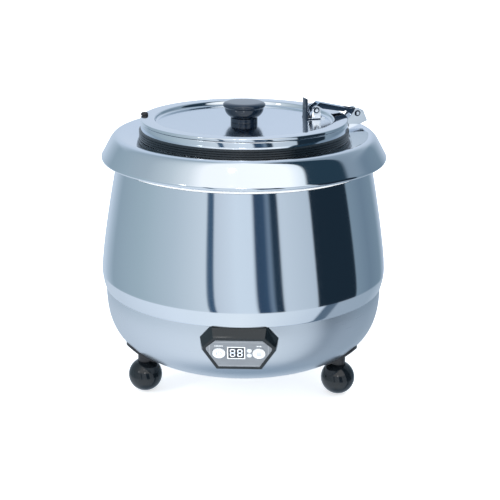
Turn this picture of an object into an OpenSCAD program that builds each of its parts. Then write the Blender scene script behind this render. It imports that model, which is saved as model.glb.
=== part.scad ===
// Soup kettle: wet-heat bain-marie with a lift-out pot and a two-stage hinged lid.
// Millimetres, +Z up, origin on the floor under the kettle's axis. The control panel faces -Y.

/* [Overall] */
// Greatest radius of the polished barrel
barrel_r = 171.4; // [142:0.1:206]
// Height of the seam between the bottom bowl and the barrel
seam_z = 120; // [105:1:140]
// Height of the barrel from its seam to the neck bead
barrel_h = 148; // [123:0.1:178]
// Thickness of the stainless sheet of the casing
sheet_t = 1; // [0.8:0.1:1.4]

/* [Pot] */
// Outer radius of the lift-out pot
pot_r = 118.6; // [98:0.1:124]
// Depth of the pot below its flange
pot_depth = 224; // [190:1:232]
// Thickness of the pot's wall
pot_t = 0.8; // [0.6:0.1:1.2]

/* [Lid] */
// Width of the raised rim round the lid
rim_w = 18; // [14:0.5:21]
// Depth of the lid's flat disc below its rim
lid_drop = 5.5; // [4:0.1:7]
// Radius of the knob's top
knob_r = 25.2; // [18:0.1:30]
// Height of the knob above the lid's disc
knob_h = 23.7; // [18:0.1:30]

/* [Lid hinge] */
// Direction of the hinge round the kettle, from +X towards +Y
hinge_turn = 17; // [0:1:60]
// Distance of the ring pivot outside the lid ring
ring_pivot_out = 15; // [13:0.5:19]
// Distance of the lid pivot from the ring pivot
arm_reach = 52.5; // [43:0.5:63]
// Width of the hinge arm
arm_w = 14.6; // [12:0.2:18]
// Thickness of the hinge sheet
ear_t = 1.5; // [1.2:0.1:2]

/* [Control panel] */
// Half the width of the face between its side corners
face_half_w = 36.2; // [32:0.1:42]
// Tilt of the face, looking down from upright
face_tilt = 19; // [12:1:24]
// Radius of each button
button_r = 7; // [5:0.1:8.4]
// Distance of each button from the middle of the face
button_off = 22; // [19.5:0.1:26]
// Travel of each button
button_travel = 0.5; // [0.3:0.1:0.8]

/* [Feet] */
// Radius of the opening in the bowl's floor, under the base plate
base_hole_r = 54.9; // [45:0.1:58]
// Radius of the ball feet
ball_r = 20; // [16:0.5:23]
// Distance of the feet from the axis
foot_ring_r = 133; // [120:1:140]

/* [Hidden] */
$fn = 64;

gap = 0.3;
near = 0.05;
steel = [0.80, 0.83, 0.87];
black = [0.07, 0.07, 0.09];
brass = [0.78, 0.62, 0.3];

// Outlines ------------------------------------------------------------------------------------

function bezier(p, t) =
    pow(1 - t, 3) * p[0] + 3 * pow(1 - t, 2) * t * p[1] + 3 * (1 - t) * t * t * p[2] + pow(t, 3) * p[3];
function curve(p, steps) = [for (i = [0:steps]) bezier(p, i / steps)];
function unit(v) = v / norm(v);
function left_of(v) = [-v[1], v[0]];
function side_at(p, i) =
    let (a = i > 0 ? unit(p[i] - p[i - 1]) : unit(p[1] - p[0]),
         b = i < len(p) - 1 ? unit(p[i + 1] - p[i]) : a,
         m = unit(a + b))
    left_of(m) / (m * a);
function beside(p, d) = [for (i = [0:len(p) - 1]) p[i] + d * side_at(p, i)];
function reversed(p) = [for (i = [len(p) - 1:-1:0]) p[i]];
function wall(p, t) = concat(p, reversed(beside(p, t)));

module lathe(points) {
    rotate_extrude($fn = 128)
        polygon(points);
}

module disc(r, z0, z1, fn = 64) {
    translate([0, 0, z0])
        cylinder(r = r, h = z1 - z0, $fn = fn);
}

module around(count, first) {
    for (i = [0:count - 1])
        rotate(first + i * 360 / count)
            children();
}

// Levels and radii ----------------------------------------------------------------------------

bowl_floor_z = 35.4;
bowl_floor_r = barrel_r - 82.5;
bead_z = seam_z + barrel_h;
bead_h = 4;
collar_low_z = bead_z + 5.5;
collar_edge_z = bead_z + 30;
barrel_top_r = barrel_r - 19.6;
collar_r = barrel_r - 2.6;

bath_neck_in = pot_r + 1.4;
bath_t = 0.8;
bath_neck_out = bath_neck_in + bath_t;
bath_r = bath_neck_out + 12.5;
bath_rim_z = collar_edge_z + 9;
bath_floor_z = seam_z - 50;
flange_r = bath_neck_out + 0.4;
flange_z = bath_rim_z + gap;
pot_floor_z = flange_z + 1.2 - pot_depth;

skirt_in = flange_r + 0.7;
skirt_out = skirt_in + 2.3;
skirt_z0 = collar_edge_z + gap;
skirt_z1 = flange_z + 1.5;
ring_out = skirt_out - 2;
ring_z0 = skirt_z1;
ring_z1 = ring_z0 + 8.2;
ring_in = ring_out - 11.5;

rim_low_z = ring_z1 + 0.4;
rim_z = rim_low_z + 3.4;
rim_out = ring_out + 0.2;
disc_z = rim_z - lid_drop;
disc_r = rim_out - rim_w;
lid_t = 1;

bowl_curve = concat(
    curve([[barrel_r - 4.2, seam_z], [barrel_r - 4.6, seam_z - 29.2],
           [barrel_r - 3.2, bowl_floor_z + 2.4], [bowl_floor_r, bowl_floor_z]], 22));
shoulder_z = seam_z + 18;
barrel_curve = concat(
    curve([[barrel_r - 3, seam_z + 0.3], [barrel_r - 0.9, seam_z + 8],
           [barrel_r, shoulder_z - 4], [barrel_r, shoulder_z]], 8),
    [for (i = [1:18])
        bezier([[barrel_r, shoulder_z], [barrel_r, shoulder_z + 24],
                [barrel_top_r + 5.5, bead_z - 27], [barrel_top_r, bead_z - 1]], i / 18)]);
collar_curve = concat(
    curve([[skirt_out + 0.1, collar_edge_z], [skirt_out + 34.4, collar_edge_z + 7],
           [collar_r - 18.1, collar_edge_z + 11.7], [collar_r, collar_low_z + 4]], 20),
    [for (i = [1:5])
        [collar_r - 2.6 + 2.6 * cos(72 * i / 5), collar_low_z + 2.9 - 2.6 * sin(72 * i / 5)]],
    [[collar_r - 9, collar_low_z - 0.9], [barrel_top_r + 4, bead_z + 3.3],
     [barrel_top_r - 8, bead_z + 3 + 2 * near]]);

// Feet ----------------------------------------------------------------------------------------

foot_first = -150;
foot_at_r = foot_ring_r + barrel_r - 171.4;
ball_z = ball_r - 0.6;
neck_r = 8.5;
saddle_r = 22;
saddle_t = 2.4;
bolt_r = 3;
foot_seat_z = bowl_floor_z + 31;

module foot_balls() {
    color(black)
        around(3, foot_first)
            translate([foot_at_r, 0, 0])
                difference() {
                    translate([0, 0, ball_z])
                        sphere(r = ball_r, $fn = 64);
                    translate([0, 0, -ball_r])
                        cylinder(r = ball_r, h = ball_r);
                    translate([0, 0, ball_z])
                        cylinder(r = bolt_r, h = ball_r + 1);
                    disc(neck_r + 0.02, ball_z + ball_r - 2.2, ball_z + ball_r + 1);
                }
}

module bowl_body(grow) {
    lathe(concat([[0, seam_z], [0, bowl_floor_z - grow]],
                 reversed(beside(bowl_curve, grow))));
}

module foot_saddles() {
    color(black)
        around(3, foot_first)
            difference() {
                union() {
                    translate([foot_at_r, 0, ball_z + ball_r - 2.2])
                        cylinder(r = neck_r, h = 30);
                    intersection() {
                        translate([foot_at_r, 0, bowl_floor_z - 6])
                            cylinder(r = saddle_r, h = 60);
                        bowl_body(saddle_t);
                    }
                }
                bowl_body(0.03);
                translate([foot_at_r, 0, 0])
                    cylinder(r = bolt_r + 0.2, h = seam_z);
            }
}

module foot_spacers() {
    color(steel)
        around(3, foot_first)
            difference() {
                intersection() {
                    translate([foot_at_r, 0, bowl_floor_z])
                        cylinder(r = 8, h = foot_seat_z - bowl_floor_z);
                    bowl_body(-sheet_t - 0.03);
                }
                translate([foot_at_r, 0, 0])
                    cylinder(r = bolt_r + 0.2, h = seam_z);
            }
}

module foot_bolts() {
    color(steel)
        around(3, foot_first)
            translate([foot_at_r, 0, 0]) {
                disc(bolt_r - near, ball_z + 2, foot_seat_z + 1);
                translate([0, 0, foot_seat_z + near])
                    cylinder(r = 5.77, h = 4, $fn = 6);
            }
}

// Bottom bowl and base ------------------------------------------------------------------------

base_screw_ring_r = base_hole_r + 6;
base_screw_first = 20;
earth_turn = 120;
earth_r = 72;
gland_z = bowl_floor_z + 45;

module bowl_shell() {
    color(steel)
        difference() {
            union() {
                lathe(wall(bowl_curve, -sheet_t));
                lathe([[base_hole_r, bowl_floor_z], [bowl_floor_r + 0.2, bowl_floor_z],
                       [bowl_floor_r + 0.2, bowl_floor_z + sheet_t], [base_hole_r, bowl_floor_z + sheet_t]]);
                lathe([[barrel_r - 16, seam_z - sheet_t], [barrel_r - 4.4, seam_z - sheet_t],
                       [barrel_r - 4.4, seam_z], [barrel_r - 16, seam_z]]);
            }
            around(3, foot_first)
                translate([foot_at_r, 0, 0])
                    cylinder(r = bolt_r + 0.2, h = seam_z - 20);
            around(4, base_screw_first)
                translate([base_screw_ring_r, 0, 0])
                    cylinder(r = 1.6, h = seam_z - 20);
            around(3, 90)
                translate([tie_ring_r, 0, 0])
                    cylinder(r = tie_r + 0.3, h = seam_z - 20);
            face_place()
                translate([0, 0, -40])
                    linear_extrude(60)
                        face_outline(-box_in + 0.3);
            translate([0, 0, gland_z])
                rotate([-90, 0, 0])
                    cylinder(r = gland_thread_r + 0.2, h = barrel_r + 20);
            rotate(earth_turn)
                translate([earth_r, 0, 0])
                    cylinder(r = 2, h = bowl_floor_z + 10);
        }
}

vent_count = 12;
base_z = bowl_floor_z - near - 1.2;

module base_plate() {
    color(steel)
        difference() {
            disc(base_screw_ring_r + 6, base_z, base_z + 1.2);
            around(4, base_screw_first)
                translate([base_screw_ring_r, 0, 0])
                    cylinder(r = 1.8, h = seam_z);
            around(vent_count, 0)
                translate([base_hole_r - 33, -2, 0])
                    cube([28, 4, seam_z]);
        }
}

module base_screws() {
    color(steel)
        around(4, base_screw_first)
            translate([base_screw_ring_r, 0, 0]) {
                disc(1.55, base_z - 1, bowl_floor_z + 6, 24);
                translate([0, 0, base_z - 2])
                    cylinder(r = 3.2, h = 2 - near, $fn = 32);
            }
}

// Barrel, bead and collar ---------------------------------------------------------------------

module barrel_shell() {
    color(steel) {
        lathe(wall(barrel_curve, sheet_t));
        lathe([[barrel_r - 16, seam_z + near], [barrel_r - 3.2, seam_z + near],
               [barrel_r - 3.2, seam_z + near + sheet_t], [barrel_r - 16, seam_z + near + sheet_t]]);
        lathe([[bath_r + 0.3, bead_z - 1 - sheet_t], [barrel_top_r - 0.2, bead_z - 1 - sheet_t],
               [barrel_top_r - 0.2, bead_z - 1], [bath_r + 0.3, bead_z - 1]]);
    }
}

module neck_bead() {
    color([0.93, 0.94, 0.95])
        rotate_extrude($fn = 128)
            difference() {
                union() {
                    translate([barrel_top_r - 1, bead_z - 1 + bead_h / 2 + near])
                        circle(r = bead_h / 2, $fn = 32);
                    translate([barrel_top_r - 9, bead_z - 1 + near])
                        square([8, bead_h]);
                }
                translate([barrel_top_r - 20, bead_z - 1 + bead_h + near])
                    square([30, 5]);
            }
}

module collar() {
    color(steel)
        union() {
            lathe(wall(collar_curve, -sheet_t));
            lathe([[bath_neck_out + near, collar_edge_z - sheet_t], [skirt_out + 0.6, collar_edge_z - sheet_t],
                   [skirt_out + 0.6, collar_edge_z], [bath_neck_out + near, collar_edge_z]]);
        }
}

// Water bath and heater -----------------------------------------------------------------------

bath_shoulder_z = collar_edge_z - 6;
bath_curve = concat(
    [[bath_neck_out, bath_rim_z], [bath_neck_out, collar_edge_z - 2.5]],
    [[bath_neck_out + 3, bath_shoulder_z + 1], [bath_r - 3, bath_shoulder_z]],
    [for (i = [1:4]) [bath_r - 3 + 3 * sin(90 * i / 4), bath_shoulder_z - 3 + 3 * cos(90 * i / 4)]],
    [for (i = [0:6]) [bath_r - 12 + 12 * cos(90 * i / 6), bath_floor_z + 12 - 12 * sin(90 * i / 6)]]);

module water_bath() {
    color(steel) {
        lathe(wall(bath_curve, -bath_t));
        disc(bath_r - 11.9, bath_floor_z, bath_floor_z + bath_t, 128);
        around(3, 90)
            translate([tie_ring_r, 0, 0])
                disc(7, bath_floor_z - 1.5, bath_floor_z + 0.1);
    }
}

heater_r = 62;
heater_t = 5;
heater_top = bath_floor_z - near;
element_r = 4;
tie_ring_r = 77;
tie_r = 2.4;

module heater_plate() {
    color([0.75, 0.76, 0.78])
        difference() {
            disc(heater_r, heater_top - heater_t, heater_top, 96);
            element_path(element_r + 0.02);
            disc(3.2, 0, seam_z);
            rotate(-60)
                translate([30, 0, heater_top - heater_t - 1])
                    cylinder(r = 3.1, h = 9);
        }
}

module element_path(r) {
    translate([0, 0, heater_top - heater_t])
        rotate(-75)
            rotate_extrude(angle = 330, $fn = 96)
                translate([46, 0])
                    circle(r = r, $fn = 32);
}

module heating_element() {
    color([0.55, 0.55, 0.58]) {
        element_path(element_r);
        translate([0, 0, heater_top - heater_t])
            for (a = [-75, 255])
                rotate(a)
                    translate([46, 0, -12])
                        cylinder(r = 2.5, h = 12, $fn = 32);
    }
}

clamp_z = heater_top - heater_t - element_r - near;

module heater_clamp() {
    color(steel)
        difference() {
            union() {
                for (turn = [0, 120, 240])
                    rotate(turn)
                        translate([0, -7, clamp_z - 2])
                            cube([54, 14, 2]);
                disc(12, clamp_z - 2, clamp_z);
            }
            disc(3.2, 0, seam_z);
        }
}

module heater_stud() {
    color(steel)
        disc(3, clamp_z - 9, bath_floor_z, 32);
}

module heater_nut() {
    color(brass)
        translate([0, 0, clamp_z - 2 - near - 4.8])
            difference() {
                cylinder(r = 5.6, h = 4.8, $fn = 6);
                translate([0, 0, -1])
                    cylinder(r = 3 + near, h = 7, $fn = 32);
            }
}

module tie_studs() {
    color(steel)
        around(3, 90)
            translate([tie_ring_r, 0, 0])
                disc(tie_r, bowl_floor_z - 6, bath_floor_z - 1.5 - near, 32);
}

module tie_nuts() {
    color(brass)
        around(3, 90)
            translate([tie_ring_r, 0, bowl_floor_z - near - 4])
                difference() {
                    cylinder(r = 4.6, h = 4, $fn = 6);
                    translate([0, 0, -1])
                        cylinder(r = tie_r + near, h = 6, $fn = 32);
                }
}

module thermal_cutout() {
    color(black)
        rotate(180)
            translate([24, 0, 0]) {
                disc(8, heater_top - heater_t - near - 8, heater_top - heater_t - near, 48);
                for (y = [-5, 5])
                    translate([-3, y - 0.4, heater_top - heater_t - 15])
                        cube([6, 0.8, 8]);
            }
}

module temperature_sensor() {
    color(steel)
        rotate(-60)
            translate([30, 0, 0])
                disc(3, heater_top - heater_t - 12, heater_top - 0.2, 32);
}

// Lift-out pot --------------------------------------------------------------------------------

pot_corner = 14;
pot_curve = concat(
    [[flange_r, flange_z + 1.2], [pot_r, flange_z + 1.2]],
    [for (i = [0:6])
        [pot_r - pot_corner + pot_corner * cos(90 * i / 6),
         pot_floor_z + pot_corner - pot_corner * sin(90 * i / 6)]]);

module soup_pot() {
    color(steel) {
        lathe(concat([for (i = [1:len(pot_curve) - 1]) pot_curve[i]],
                     reversed(beside([for (i = [1:len(pot_curve) - 1]) pot_curve[i]], -pot_t))));
        disc(pot_r - pot_corner + 0.1, pot_floor_z, pot_floor_z + pot_t, 128);
        lathe([[pot_r - pot_t, flange_z], [flange_r, flange_z],
               [flange_r, flange_z + 1.2], [pot_r - pot_t, flange_z + 1.2]]);
    }
}

// Lid ring and its skirt ----------------------------------------------------------------------

ridge_step = 3.2;

module ring_skirt() {
    color(black)
        rotate_extrude($fn = 128)
            difference() {
                polygon([[skirt_in, skirt_z0], [skirt_out, skirt_z0], [skirt_out, skirt_z1 - 1.2],
                         [skirt_out - 1.2, skirt_z1 - near], [ring_in + 3, skirt_z1 - near],
                         [ring_in + 3, skirt_z1 - 1.2 + 0.2], [skirt_in, skirt_z1 - 1.2 + 0.2]]);
                for (k = [1:2])
                    translate([skirt_out + 0.35, skirt_z0 + k * ridge_step])
                        circle(r = 0.7, $fn = 16);
                translate([0, flange_z + 1.2 - 5])
                    square([flange_r + gap, 5 + gap]);
            }
}

module lid_ring() {
    color(steel)
        rotate_extrude($fn = 128)
            polygon(concat(
                [[ring_out - 1.2, ring_z0], [ring_out, ring_z0]],
                [for (i = [0:4])
                    [ring_out - 1.6 + 1.6 * cos(90 * i / 4), ring_z1 - 1.6 + 1.6 * sin(90 * i / 4)]],
                [[ring_in, ring_z1], [ring_in, ring_z1 - 3.4], [ring_in + 1, ring_z1 - 3.4],
                 [ring_in + 1, ring_z1 - 1.2], [ring_out - 1.2, ring_z1 - 1.8]]));
}

// Two-stage lid hinge -------------------------------------------------------------------------

pivot_r = 2;
ring_pivot = [skirt_out + ring_pivot_out, disc_z + 5];
lid_pivot = ring_pivot + [-sqrt(arm_reach * arm_reach - 36), 6];
arm_out = arm_w / 2;
ear_in = arm_out + 0.4;
ear_out = ear_in + ear_t;

// Turns a profile drawn as radius and height into a plate across the hinge's plane.
module plate(y0, y1) {
    rotate(hinge_turn)
        translate([0, y1, 0])
            rotate([90, 0, 0])
                linear_extrude(y1 - y0)
                    children();
}

module across(at, r, half_w) {
    rotate(hinge_turn)
        translate([at[0], half_w, at[1]])
            rotate([90, 0, 0])
                cylinder(r = r, h = 2 * half_w, $fn = 32);
}

bracket_foot = [ring_pivot[0] + 13.5, ring_pivot[1] - 9];

module ring_ear_outline() {
    difference() {
        hull() {
            translate(ring_pivot)
                circle(r = 5.7, $fn = 32);
            translate([skirt_out + 1.6, skirt_z0 + 2.5])
                square([1, 10]);
            translate(bracket_foot - [2, 0])
                circle(r = 1.2, $fn = 24);
            translate([ring_pivot[0] - 2, collar_edge_z + 9.5])
                circle(r = 1, $fn = 24);
        }
        translate([0, 0])
            square([skirt_out + 1.6, 500]);
    }
}

tab_reach = 9.5;

module ring_bracket() {
    color(steel)
        difference() {
            union() {
                plate(-ear_out, -ear_in)
                    ring_ear_outline();
                plate(ear_in, ear_out)
                    ring_ear_outline();
                plate(-ear_out, ear_out)
                    difference() {
                        hull() {
                            translate(bracket_foot - [2, 0])
                                circle(r = 1.2, $fn = 24);
                            translate(ring_pivot + [6.8, 2.5])
                                circle(r = 1, $fn = 24);
                        }
                        circle(r = 1);
                    }
                intersection() {
                    rotate(hinge_turn)
                        translate([skirt_out - 6, -ear_out - tab_reach, skirt_z0 + 1])
                            cube([20, 2 * (ear_out + tab_reach), 11.5]);
                    rotate_extrude($fn = 128)
                        translate([skirt_out + near, 0])
                            square([1.6, 500]);
                }
                plate(-ear_out, -ear_in)
                    translate([skirt_out + 0.6, skirt_z0 + 2.2])
                        square([2.2, 10.3]);
                plate(ear_in, ear_out)
                    translate([skirt_out + 0.6, skirt_z0 + 2.2])
                        square([2.2, 10.3]);
            }
            across(ring_pivot, pivot_r + 0.05, 30);
            rivet_places(6)
                cylinder(r = 1.3, h = 20, center = true, $fn = 24);
            lathe([[0, skirt_z0 - 1], [skirt_out + near, skirt_z0 - 1],
                   [skirt_out + near, 400], [0, 400]]);
        }
}

module rivet_places(tangent) {
    for (side = [-1, 1])
        for (z = [skirt_z0 + 3.6, skirt_z0 + 9.4])
            rotate(hinge_turn + side * asin((ear_out + tangent) / skirt_out))
                translate([skirt_out, 0, z])
                    rotate([0, 90, 0])
                        children();
}

module bracket_rivets() {
    color(steel)
        intersection() {
            rivet_places(6)
                union() {
                    translate([0, 0, -0.3])
                        cylinder(r = 1.25, h = 2.6, $fn = 24);
                    translate([0, 0, 1.6 + 0.25])
                        cylinder(r = 2.1, h = 0.9, $fn = 32);
                }
            lathe([[skirt_out + near, skirt_z0 - 5], [skirt_out + 10, skirt_z0 - 5],
                   [skirt_out + 10, skirt_z0 + 20], [skirt_out + near, skirt_z0 + 20]]);
        }
}

module hinge_pin(at) {
    across(at, pivot_r, ear_out + 0.2);
    for (side = [-1, 1])
        rotate(hinge_turn)
            translate([at[0], side * (ear_out + 0.65), at[1]])
                rotate([90, 0, 0])
                    cylinder(r = 3, h = 1.1, center = true, $fn = 32);
}

module ring_hinge_pin() {
    color(steel)
        hinge_pin(ring_pivot);
}

module lid_hinge_pin() {
    color(steel)
        hinge_pin(lid_pivot);
}

arm_top = 7.6;
arm_knee = [-15, 5.6];

module arm_cheek_outline() {
    hull() {
        translate(ring_pivot)
            circle(r = 4.2, $fn = 32);
        translate(ring_pivot + arm_knee)
            circle(r = 1.5, $fn = 24);
    }
    hull() {
        translate(lid_pivot)
            circle(r = 4.2, $fn = 32);
        translate(lid_pivot + [5, arm_top - 1.2])
            circle(r = 2, $fn = 24);
    }
    hull() {
        translate(ring_pivot + arm_knee)
            circle(r = 1.5, $fn = 24);
        translate(ring_pivot + arm_knee - [2, 2.2])
            circle(r = 1, $fn = 24);
        translate(lid_pivot + [5, arm_top - 1.2])
            circle(r = 2, $fn = 24);
        translate(lid_pivot + [8, arm_top - 5.4])
            circle(r = 1, $fn = 24);
    }
}

module arm_web_outline() {
    difference() {
        hull() {
            translate(ring_pivot + arm_knee)
                circle(r = 1.5, $fn = 24);
            translate(lid_pivot + [5, arm_top - 1.2])
                circle(r = 2, $fn = 24);
        }
        hull() {
            translate(ring_pivot + arm_knee + [1, -4])
                circle(r = 4, $fn = 24);
            translate(lid_pivot + [3, arm_top - 1.2 - 3.6])
                circle(r = 4, $fn = 24);
        }
    }
}

module hinge_arm() {
    color(steel)
        difference() {
            union() {
                plate(-arm_out, -arm_out + ear_t)
                    arm_cheek_outline();
                plate(arm_out - ear_t, arm_out)
                    arm_cheek_outline();
                plate(-arm_out, arm_out)
                    arm_web_outline();
            }
            across(ring_pivot, pivot_r + 0.1, 30);
            across(lid_pivot, pivot_r + 0.1, 30);
        }
}

// Lid -----------------------------------------------------------------------------------------

module lid_panel() {
    color(steel)
        difference() {
            rotate_extrude($fn = 128)
                polygon(concat(
                    [[0, disc_z], [disc_r - 1, disc_z], [disc_r - 0.3, disc_z + 0.4], [disc_r, disc_z + 1.2]],
                    [[disc_r, rim_z - 1], [disc_r + 0.8, rim_z]],
                    [for (i = [0:4])
                        [rim_out - 1.2 + 1.2 * sin(90 * i / 4), rim_z - 1.2 + 1.2 * cos(90 * i / 4)]],
                    [[rim_out, rim_low_z], [rim_out - lid_t, rim_low_z], [rim_out - lid_t, rim_z - lid_t],
                     [disc_r + lid_t, rim_z - lid_t], [disc_r + lid_t, disc_z - 0.2],
                     [disc_r + 0.2, disc_z - lid_t], [0, disc_z - lid_t]]));
            disc(2.1, disc_z - 5, disc_z + 5, 32);
            lid_rivet_places()
                cylinder(r = 1.6, h = 10, center = true, $fn = 24);
        }
}

lid_plate_in = -12;
lid_plate_out = 11;

module lid_rivet_places() {
    rotate(hinge_turn)
        for (x = [-6.5, 6])
            for (y = [-3.6, 3.6])
                translate([lid_pivot[0] + x, y, disc_z])
                    children();
}

module lid_ear_outline() {
    hull() {
        translate(lid_pivot)
            circle(r = 5.4, $fn = 32);
        translate([lid_pivot[0] - 5.4, disc_z + near])
            square([10.8, 1]);
    }
}

module lid_bracket() {
    color(steel)
        difference() {
            union() {
                plate(-ear_out, -ear_in)
                    lid_ear_outline();
                plate(ear_in, ear_out)
                    lid_ear_outline();
                plate(-ear_out, ear_out)
                    translate([lid_pivot[0] + lid_plate_in, disc_z + near])
                        square([lid_plate_out - lid_plate_in, ear_t]);
                plate(-ear_in + 0.1, ear_in - 0.1)
                    translate([lid_pivot[0] + lid_plate_in, disc_z + near])
                        square([ear_t, 24.2]);
            }
            across(lid_pivot, pivot_r + 0.05, 30);
            lid_rivet_places()
                cylinder(r = 1.6, h = 10, center = true, $fn = 24);
        }
}

module lid_rivets() {
    color(steel)
        lid_rivet_places() {
            disc(1.55, -lid_t - 0.2, ear_t + 0.3, 24);
            disc(2.5, ear_t + 2 * near, ear_t + 0.9, 32);
            disc(2.5, -lid_t - 0.8, -lid_t - near, 32);
        }
}

knob_base_r = 16;
knob_base_h = 5;

module lid_knob() {
    color(black)
        difference() {
            rotate_extrude($fn = 96)
                polygon(concat(
                    [[0, disc_z + near], [knob_base_r - 0.4, disc_z + near], [knob_base_r, disc_z + 0.5],
                     [knob_base_r, disc_z + knob_base_h - 0.4], [knob_base_r - 0.4, disc_z + knob_base_h]],
                    curve([[knob_base_r - 0.8, disc_z + knob_base_h + 0.2],
                           [knob_base_r + 2.5, disc_z + knob_base_h + 3],
                           [knob_r - 1.5, disc_z + knob_h - 8.5],
                           [knob_r, disc_z + knob_h - 2.6]], 10),
                    curve([[knob_r, disc_z + knob_h - 2], [knob_r - 0.3, disc_z + knob_h - 0.6],
                           [knob_r - 6, disc_z + knob_h], [knob_r * 0.5, disc_z + knob_h]], 6),
                    [[0, disc_z + knob_h]]));
            disc(2.1, disc_z - 1, disc_z + 14, 32);
        }
}

module knob_screw() {
    color(steel) {
        disc(2.05, disc_z - lid_t - 0.5, disc_z + 12, 32);
        disc(4, disc_z - lid_t - 2.6, disc_z - lid_t - near, 32);
    }
}

bumper_turn = 178;

module lid_bumper() {
    color(black)
        rotate(bumper_turn)
            translate([rim_out - 3.9, 0, rim_z + near])
                rotate_extrude($fn = 48)
                    polygon([[0, 0], [4.4, 0], [4.4, 1.6], [3.9, 2.9], [2.6, 3.5], [0, 3.7]]);
}

// Control panel -------------------------------------------------------------------------------

face_out = 167.6 + (barrel_r - 171.4);
face_z = seam_z - 32;
face_t = 0.8;
bezel_lip = 3.4;
box_in = 1.3;
box_wall = 1.2;
window_c = [-3, 3.2];
window_half = [8.6, 7.4];
lamp_x = 11.4;
lamp_y = [6.6, -0.2];
scale_w = face_half_w / 36.2;

// Face plane: local x to the right, y up the face, z out of the face.
module face_place() {
    translate([0, -face_out, face_z])
        rotate([90 + face_tilt, 0, 0])
            children();
}

module face_outline(grow) {
    room = button_r - 7;
    w = face_half_w + room + grow;
    low = 17 + room + grow;
    offset_top = 20.8 + grow;
    polygon([[-25.7 * scale_w - grow * 0.6, offset_top], [-w, 10.5 + grow * 0.3], [-w, 7.5 - grow * 0.3],
             [-22.6 * scale_w - room - grow * 0.6, -low], [22.6 * scale_w + room + grow * 0.6, -low],
             [w, 7.5 - grow * 0.3], [w, 10.5 + grow * 0.3], [25.7 * scale_w + grow * 0.6, offset_top]]);
}

module control_bezel() {
    color(black)
        difference() {
            face_place()
                hull() {
                    translate([0, 0, -0.2])
                        linear_extrude(0.2)
                            face_outline(bezel_lip);
                    translate([0, 0, -3])
                        linear_extrude(1)
                            face_outline(bezel_lip + 1.4);
                    translate([0, 3.2, -14])
                        linear_extrude(1)
                            face_outline(bezel_lip + 4);
                }
            face_place()
                translate([0, 0, -face_t])
                    linear_extrude(5)
                        face_outline(0.1);
            face_place()
                translate([0, 0, -40])
                    linear_extrude(60)
                        face_outline(-box_in + 0.2);
            bowl_body(0.05);
            disc(barrel_r + 30, seam_z - near, seam_z + 30);
        }
}

module face_openings(grow) {
    translate([0, 0, -20])
        linear_extrude(40) {
            translate(window_c - window_half - [grow, grow])
                square(2 * (window_half + [grow, grow]));
            for (y = lamp_y)
                translate([lamp_x, y])
                    circle(r = 1.6 + grow, $fn = 24);
        }
    for (side = [-1, 1])
        translate([side * button_off, window_c[1], -20])
            cylinder(r = button_r + 0.3 + grow, h = 40, $fn = 48);
}

module control_face() {
    color([0.55, 0.57, 0.6])
        difference() {
            face_place()
                translate([0, 0, -face_t + near])
                    linear_extrude(face_t - near)
                        face_outline(0);
            face_place()
                face_openings(0);
            bowl_body(0.05);
        }
}

module display_window() {
    color([0.1, 0.1, 0.12])
        face_place()
            translate([0, 0, -face_t - 1.2])
                linear_extrude(face_t + 1.2 - 0.1)
                    translate(window_c - window_half + [0.1, 0.1])
                        square(2 * (window_half - [0.1, 0.1]));
}

module display_module() {
    color([0.85, 0.85, 0.85])
        face_place()
            translate([0, 0, board_top + near])
                linear_extrude(-board_top - face_t - 1.2 - 2 * near)
                    translate(window_c - window_half + [0.5, 0.5])
                        square(2 * (window_half - [0.5, 0.5]));
}

digit_w = 5.6;
digit_h = 11;
bar_t = 1.1;

module digit_bars() {
    for (row = [-1, 0, 1])
        translate([-digit_w / 2 + bar_t, row * (digit_h - bar_t) / 2 - bar_t / 2])
            square([digit_w - 2 * bar_t, bar_t]);
    for (side = [-1, 1])
        for (row = [-1, 1])
            translate([side * (digit_w - bar_t) / 2 - bar_t / 2,
                       row * digit_h / 4 - digit_h / 4 + bar_t * 0.8])
                square([bar_t, digit_h / 2 - bar_t * 1.6]);
}

module display_digits() {
    color([0.9, 0.95, 1])
        face_place()
            translate([0, 0, -0.1 + 0.02])
                linear_extrude(0.12)
                    for (side = [-1, 1])
                        translate([window_c[0] + side * 4, window_c[1]])
                            digit_bars();
}

module status_lamps() {
    color([0.9, 0.5, 0.2])
        face_place()
            for (y = lamp_y)
                translate([lamp_x, y, -face_t - 1.2])
                    cylinder(r = 1.5, h = face_t + 1.2 + 0.2, $fn = 24);
}

board_gap = 5;
board_top = -board_gap;

module button(side) {
    color([0.35, 0.36, 0.4])
        face_place()
            translate([side * button_off, window_c[1], 0]) {
                translate([0, 0, -face_t - gap - 0.6])
                    cylinder(r = button_r, h = face_t + gap + 0.6 + 1.3, $fn = 48);
                translate([0, 0, -face_t - gap - 0.7])
                    cylinder(r = button_r + 0.6, h = 0.7, $fn = 48);
                translate([0, 0, board_top + 1.6 + gap + button_travel])
                    cylinder(r = 2, h = -board_top - 1.6 - gap - button_travel - face_t - gap, $fn = 24);
            }
}

module power_button() {
    button(-1);
}

module set_button() {
    button(1);
}

module control_board() {
    color([0.1, 0.4, 0.2])
        face_place()
            translate([0, 0, board_top - 1.6])
                linear_extrude(1.6)
                    face_outline(-box_in - box_wall - 0.3);
}

module tact_switches() {
    color(black)
        face_place()
            for (side = [-1, 1])
                translate([side * button_off - 3, window_c[1] - 3, board_top + near])
                    cube([6, 6, 1.6 - near]);
}

box_back = -22;
lead_x = 8;

module control_box() {
    color(black)
        face_place()
            difference() {
                translate([0, 0, box_back])
                    linear_extrude(-box_back - face_t - near)
                        face_outline(-box_in);
                translate([0, 0, box_back + 1.6])
                    linear_extrude(60)
                        face_outline(-box_in - box_wall);
                translate([lead_x, 0, box_back - 5])
                    cylinder(r = 6.4, h = 10, $fn = 32);
            }
}

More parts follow.
